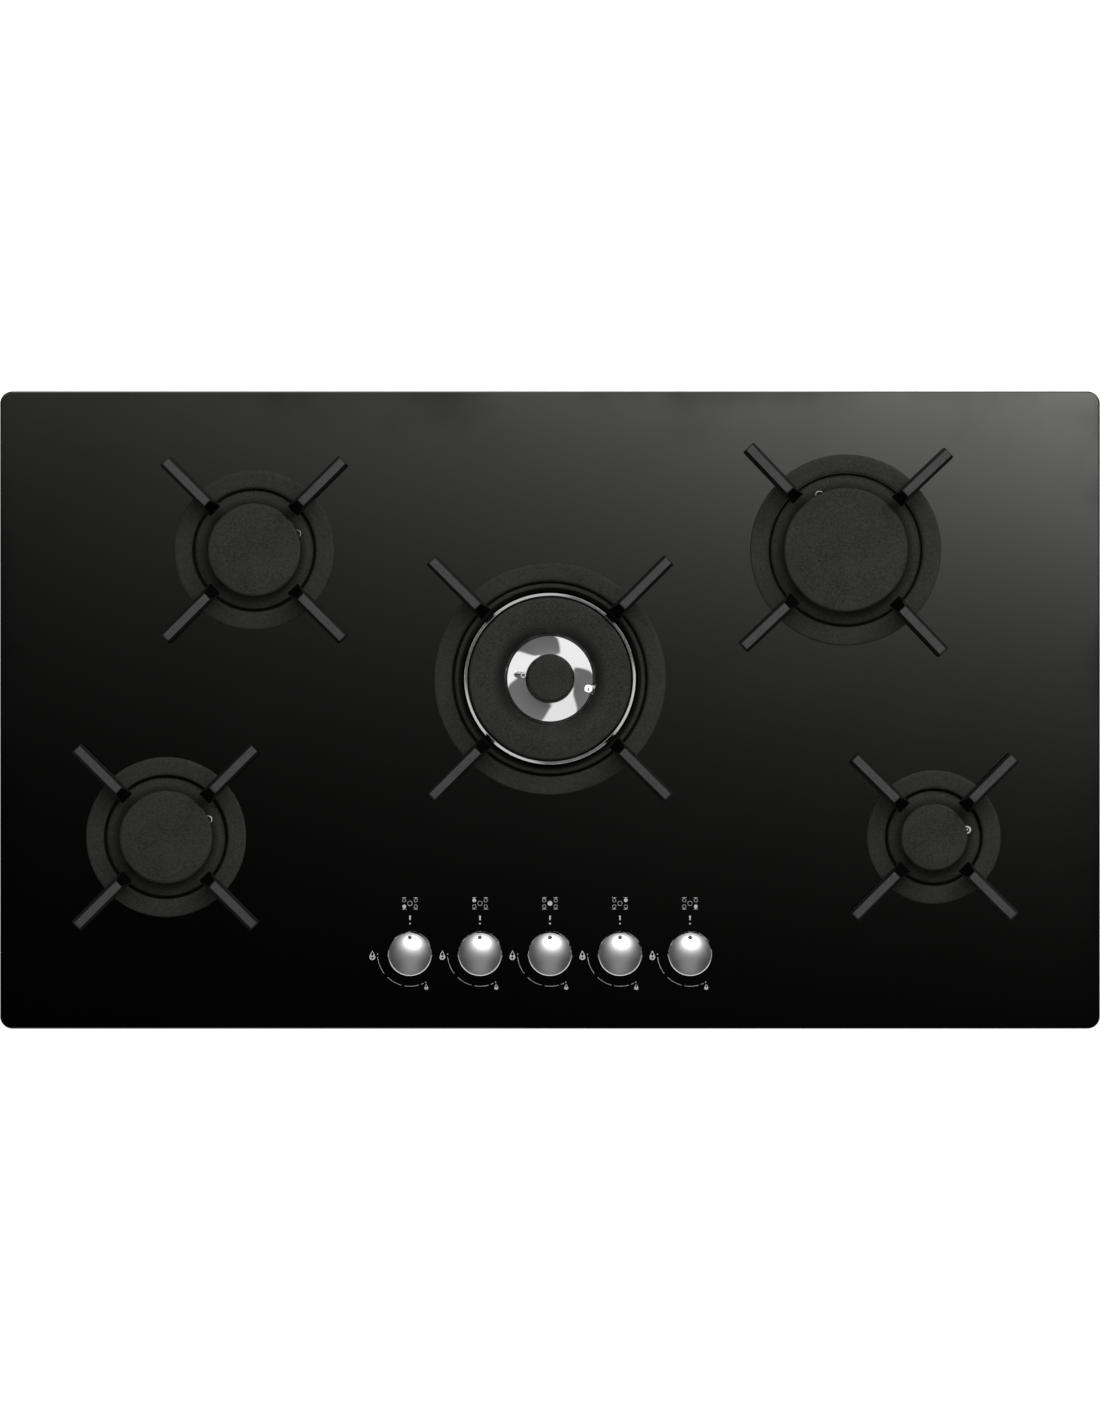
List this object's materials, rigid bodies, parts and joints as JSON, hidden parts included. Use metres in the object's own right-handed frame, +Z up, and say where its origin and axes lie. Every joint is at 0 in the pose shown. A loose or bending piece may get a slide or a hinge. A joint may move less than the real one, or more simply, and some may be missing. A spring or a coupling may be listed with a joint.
{
  "type": "gas cooktop",
  "caption": "Built-in gas cooktop: black glass top with round cast-iron pan supports, enamelled burner caps, a wok burner and metal knobs, over a steel tray with taps and pipes.",
  "frame": {"origin": "middle of the underside of the tray, below the middle of the glass", "axes": "+X to the cook's right, +Y to the rear, +Z up; the knobs are at the front, at -Y"},
  "size_m": [0.88, 0.51, 0.0983],
  "materials": {
    "black_glass": "polished, printed",
    "foam_seal": "matt closed-cell foam",
    "tray_steel": "zinc-coated sheet",
    "burner_casting": "dark coated casting",
    "spreader_aluminium": "as cast",
    "cap_enamel": "matt black enamel",
    "polished_crown": "mirror polished",
    "probe_steel": "drawn",
    "igniter_ceramic": "glazed",
    "cast_iron": "matt enamelled casting",
    "knob_metal": "satin anodised",
    "tap_steel": "turned",
    "tap_brass": "turned",
    "tap_aluminium": "as cast",
    "pipe_aluminium": "drawn",
    "rail_steel": "zinc coated",
    "module_plastic": "moulded"
  },
  "bodies": {
    "root": {"glass_top": "black_glass", "worktop_seal": "foam_seal", "bottom_tray": "tray_steel", "burner_body_left_front": "burner_casting", "burner_body_left_rear": "burner_casting", "burner_body_right_rear": "burner_casting", "burner_body_right_front": "burner_casting", "burner_body_wok": "burner_casting", "wok_thermocouple": "probe_steel", "igniter_left_front": "igniter_ceramic", "tap_body_left_front": "tap_aluminium", "gas_pipe_left_front": "pipe_aluminium", "igniter_left_rear": "igniter_ceramic", "tap_body_left_rear": "tap_aluminium", "gas_pipe_left_rear": "pipe_aluminium", "igniter_wok": "igniter_ceramic", "tap_body_wok": "tap_aluminium", "gas_pipe_wok": "pipe_aluminium", "igniter_right_rear": "igniter_ceramic", "tap_body_right_rear": "tap_aluminium", "gas_pipe_right_rear": "pipe_aluminium", "igniter_right_front": "igniter_ceramic", "tap_body_right_front": "tap_aluminium", "gas_pipe_right_front": "pipe_aluminium", "gas_rail": "rail_steel", "ignition_module": "module_plastic", "fixing_bracket_right": "tray_steel", "fixing_bracket_left": "tray_steel"},
    "pan_support_left_front": {"pan_support_left_front": "cast_iron"},
    "pan_support_left_rear": {"pan_support_left_rear": "cast_iron"},
    "pan_support_wok": {"pan_support_wok": "cast_iron"},
    "pan_support_right_rear": {"pan_support_right_rear": "cast_iron"},
    "pan_support_right_front": {"pan_support_right_front": "cast_iron"},
    "spreader_left_front": {"flame_spreader_left_front": "spreader_aluminium"},
    "cap_left_front": {"burner_cap_left_front": "cap_enamel"},
    "spreader_left_rear": {"flame_spreader_left_rear": "spreader_aluminium"},
    "cap_left_rear": {"burner_cap_left_rear": "cap_enamel"},
    "spreader_right_rear": {"flame_spreader_right_rear": "spreader_aluminium"},
    "cap_right_rear": {"burner_cap_right_rear": "cap_enamel"},
    "spreader_right_front": {"flame_spreader_right_front": "spreader_aluminium"},
    "cap_right_front": {"burner_cap_right_front": "cap_enamel"},
    "wok_outer_crown": {"wok_outer_crown": "polished_crown"},
    "wok_outer_cap": {"wok_outer_cap": "cap_enamel"},
    "wok_inner_crown": {"wok_inner_crown": "polished_crown"},
    "wok_inner_cap": {"wok_inner_cap": "cap_enamel"},
    "plug_left_front": {"tap_plug_left_front": "tap_brass"},
    "knob_left_front": {"knob_left_front": "knob_metal", "spindle_left_front": "tap_steel"},
    "plug_left_rear": {"tap_plug_left_rear": "tap_brass"},
    "knob_left_rear": {"knob_left_rear": "knob_metal", "spindle_left_rear": "tap_steel"},
    "plug_wok": {"tap_plug_wok": "tap_brass"},
    "knob_wok": {"knob_wok": "knob_metal", "spindle_wok": "tap_steel"},
    "plug_right_rear": {"tap_plug_right_rear": "tap_brass"},
    "knob_right_rear": {"knob_right_rear": "knob_metal", "spindle_right_rear": "tap_steel"},
    "plug_right_front": {"tap_plug_right_front": "tap_brass"},
    "knob_right_front": {"knob_right_front": "knob_metal", "spindle_right_front": "tap_steel"}
  },
  "joints": [
    {"name": "pan_support_left_front_lift", "type": "slide", "parent": "root", "child": "pan_support_left_front", "axis": [0, 0, 1], "range_m": [0, 0.12]},
    {"name": "pan_support_left_rear_lift", "type": "slide", "parent": "root", "child": "pan_support_left_rear", "axis": [0, 0, 1], "range_m": [0, 0.12]},
    {"name": "pan_support_wok_lift", "type": "slide", "parent": "root", "child": "pan_support_wok", "axis": [0, 0, 1], "range_m": [0, 0.12]},
    {"name": "pan_support_right_rear_lift", "type": "slide", "parent": "root", "child": "pan_support_right_rear", "axis": [0, 0, 1], "range_m": [0, 0.12]},
    {"name": "pan_support_right_front_lift", "type": "slide", "parent": "root", "child": "pan_support_right_front", "axis": [0, 0, 1], "range_m": [0, 0.12]},
    {"name": "spreader_left_front_lift", "type": "slide", "parent": "root", "child": "spreader_left_front", "axis": [0, 0, 1], "range_m": [0, 0.05]},
    {"name": "cap_left_front_lift", "type": "slide", "parent": "spreader_left_front", "child": "cap_left_front", "axis": [0, 0, 1], "range_m": [0, 0.03]},
    {"name": "spreader_left_rear_lift", "type": "slide", "parent": "root", "child": "spreader_left_rear", "axis": [0, 0, 1], "range_m": [0, 0.05]},
    {"name": "cap_left_rear_lift", "type": "slide", "parent": "spreader_left_rear", "child": "cap_left_rear", "axis": [0, 0, 1], "range_m": [0, 0.03]},
    {"name": "spreader_right_rear_lift", "type": "slide", "parent": "root", "child": "spreader_right_rear", "axis": [0, 0, 1], "range_m": [0, 0.05]},
    {"name": "cap_right_rear_lift", "type": "slide", "parent": "spreader_right_rear", "child": "cap_right_rear", "axis": [0, 0, 1], "range_m": [0, 0.03]},
    {"name": "spreader_right_front_lift", "type": "slide", "parent": "root", "child": "spreader_right_front", "axis": [0, 0, 1], "range_m": [0, 0.05]},
    {"name": "cap_right_front_lift", "type": "slide", "parent": "spreader_right_front", "child": "cap_right_front", "axis": [0, 0, 1], "range_m": [0, 0.03]},
    {"name": "wok_outer_crown_lift", "type": "slide", "parent": "root", "child": "wok_outer_crown", "axis": [0, 0, 1], "range_m": [0, 0.05]},
    {"name": "wok_outer_cap_lift", "type": "slide", "parent": "wok_outer_crown", "child": "wok_outer_cap", "axis": [0, 0, 1], "range_m": [0, 0.03]},
    {"name": "wok_inner_crown_lift", "type": "slide", "parent": "wok_outer_crown", "child": "wok_inner_crown", "axis": [0, 0, 1], "range_m": [0, 0.05]},
    {"name": "wok_inner_cap_lift", "type": "slide", "parent": "wok_inner_crown", "child": "wok_inner_cap", "axis": [0, 0, 1], "range_m": [0, 0.03]},
    {"name": "knob_left_front_turn", "type": "hinge", "parent": "root", "child": "plug_left_front", "pos_m": [-0.112, -0.195, 0.03], "axis": [0, 0, 1], "range_deg": [0, 210]},
    {"name": "knob_left_front_push", "type": "slide", "parent": "plug_left_front", "child": "knob_left_front", "axis": [0, 0, -1], "range_m": [0, 0.004], "stiffness_N_per_m": 1500, "springref_m": -0.003},
    {"name": "knob_left_rear_turn", "type": "hinge", "parent": "root", "child": "plug_left_rear", "pos_m": [-0.056, -0.195, 0.03], "axis": [0, 0, 1], "range_deg": [0, 210]},
    {"name": "knob_left_rear_push", "type": "slide", "parent": "plug_left_rear", "child": "knob_left_rear", "axis": [0, 0, -1], "range_m": [0, 0.004], "stiffness_N_per_m": 1500, "springref_m": -0.003},
    {"name": "knob_wok_turn", "type": "hinge", "parent": "root", "child": "plug_wok", "pos_m": [0, -0.195, 0.03], "axis": [0, 0, 1], "range_deg": [0, 210]},
    {"name": "knob_wok_push", "type": "slide", "parent": "plug_wok", "child": "knob_wok", "axis": [0, 0, -1], "range_m": [0, 0.004], "stiffness_N_per_m": 1500, "springref_m": -0.003},
    {"name": "knob_right_rear_turn", "type": "hinge", "parent": "root", "child": "plug_right_rear", "pos_m": [0.056, -0.195, 0.03], "axis": [0, 0, 1], "range_deg": [0, 210]},
    {"name": "knob_right_rear_push", "type": "slide", "parent": "plug_right_rear", "child": "knob_right_rear", "axis": [0, 0, -1], "range_m": [0, 0.004], "stiffness_N_per_m": 1500, "springref_m": -0.003},
    {"name": "knob_right_front_turn", "type": "hinge", "parent": "root", "child": "plug_right_front", "pos_m": [0.112, -0.195, 0.03], "axis": [0, 0, 1], "range_deg": [0, 210]},
    {"name": "knob_right_front_push", "type": "slide", "parent": "plug_right_front", "child": "knob_right_front", "axis": [0, 0, -1], "range_m": [0, 0.004], "stiffness_N_per_m": 1500, "springref_m": -0.003}
  ]
}
